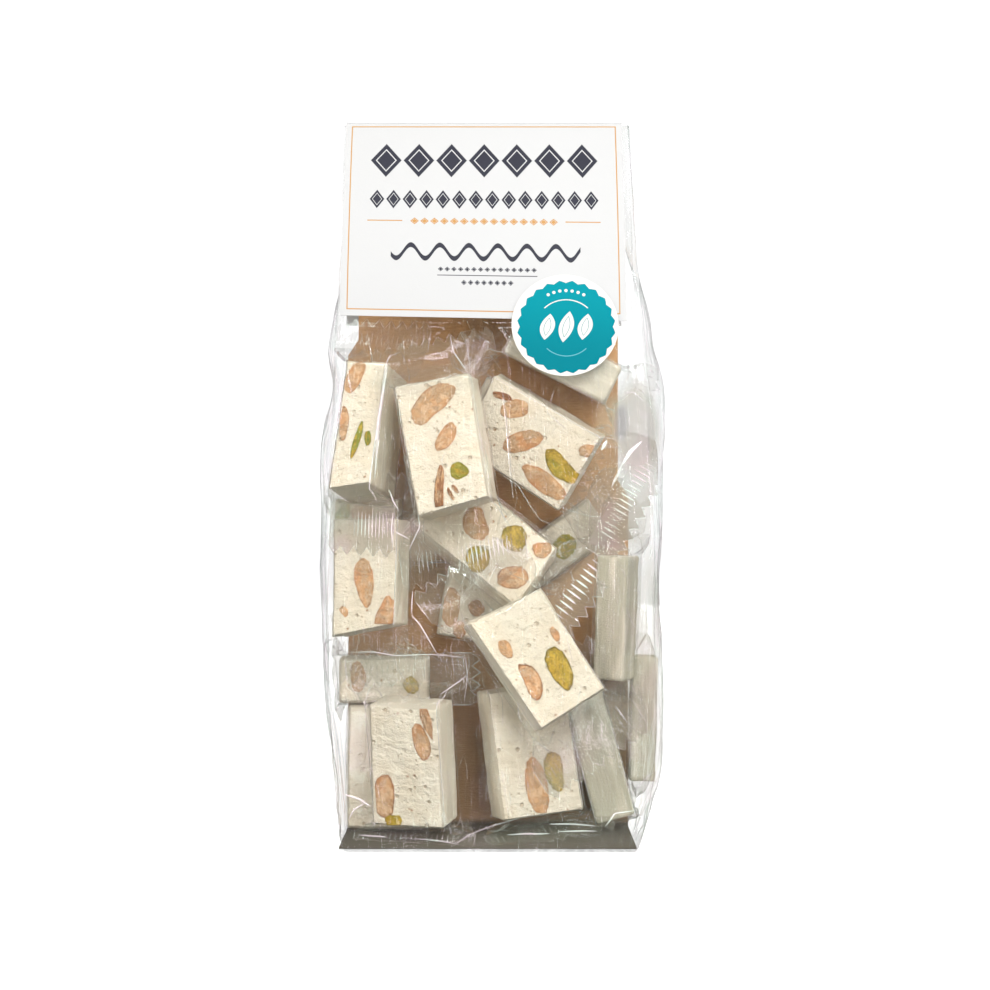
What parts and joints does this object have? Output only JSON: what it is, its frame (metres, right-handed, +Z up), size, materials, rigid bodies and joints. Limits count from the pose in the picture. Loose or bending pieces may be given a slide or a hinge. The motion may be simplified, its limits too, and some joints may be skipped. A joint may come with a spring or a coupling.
{
  "type": "bag of nougat",
  "caption": "Clear film stand-up bag of individually wrapped white nougat pieces with almonds and pistachios, closed by a folded header card with a round seal.",
  "frame": {"origin": "middle of the flat base that the bag stands on, between its gussets", "axes": "+Z up to the folded card, +Y towards the back, so the front with the card's printed leaf and the seal faces -Y, +X to the right seen from the front"},
  "size_m": [0.1038, 0.0424, 0.2188],
  "materials": {
    "clear_film": "clear glossy film, thin, creased",
    "header_card": "smooth white card with navy bands, gold rules and a thin gold frame",
    "seal_paper": "round white sticker with a teal field whose edge is cut in points",
    "nougat": "matte cream white nougat, finely pitted, with fibrous cut sides",
    "almond": "cut roasted almond, pale inside with a brown skin",
    "pistachio": "cut pistachio, yellow green",
    "kraft_board": "brown kraft board, matte"
  },
  "bodies": {
    "root": {"bag": "clear_film", "header_card": "header_card", "seal": "seal_paper"}
  },
  "joints": []
}
